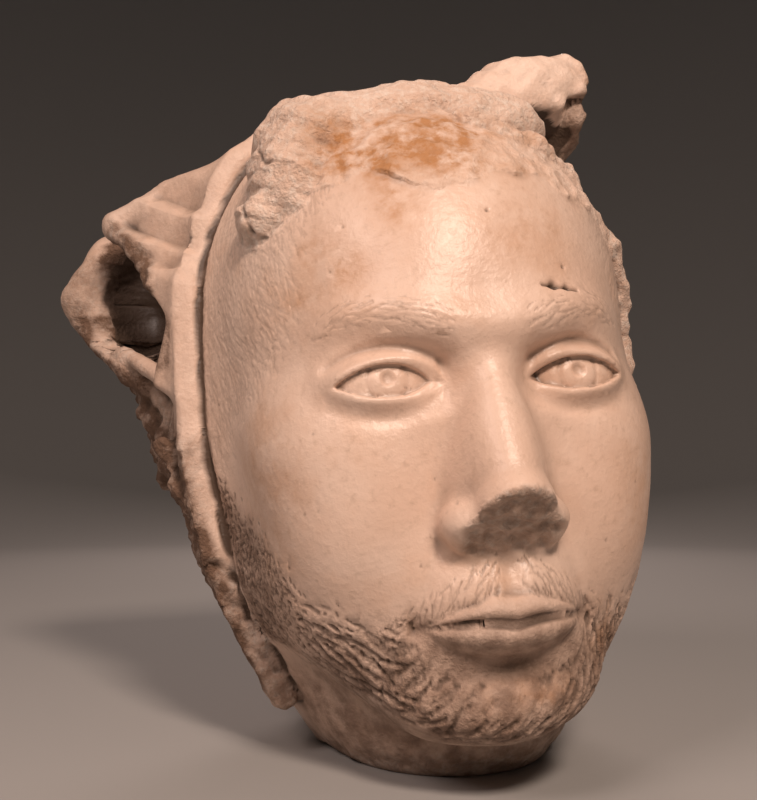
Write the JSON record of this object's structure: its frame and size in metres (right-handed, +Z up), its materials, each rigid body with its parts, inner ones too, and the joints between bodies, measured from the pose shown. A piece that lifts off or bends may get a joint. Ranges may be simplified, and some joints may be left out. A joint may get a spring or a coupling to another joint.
{
  "type": "marble head",
  "caption": "Life-size marble head of a bearded man with a mantle drawn over the back, broken off below the jaw and cut flat to stand by itself.",
  "frame": {"origin": "middle of the flat underside of the neck, on the surface that the head stands on", "axes": "+Z up, the face looks along -Y, and the head's left is +X"},
  "size_m": [0.2267, 0.2243, 0.2676],
  "materials": {
    "marble": "cream white marble with warm brown stains, smooth on the skin, broken and crystalline on the breaks"
  },
  "bodies": {
    "root": {"marble_head": "marble"}
  },
  "joints": []
}
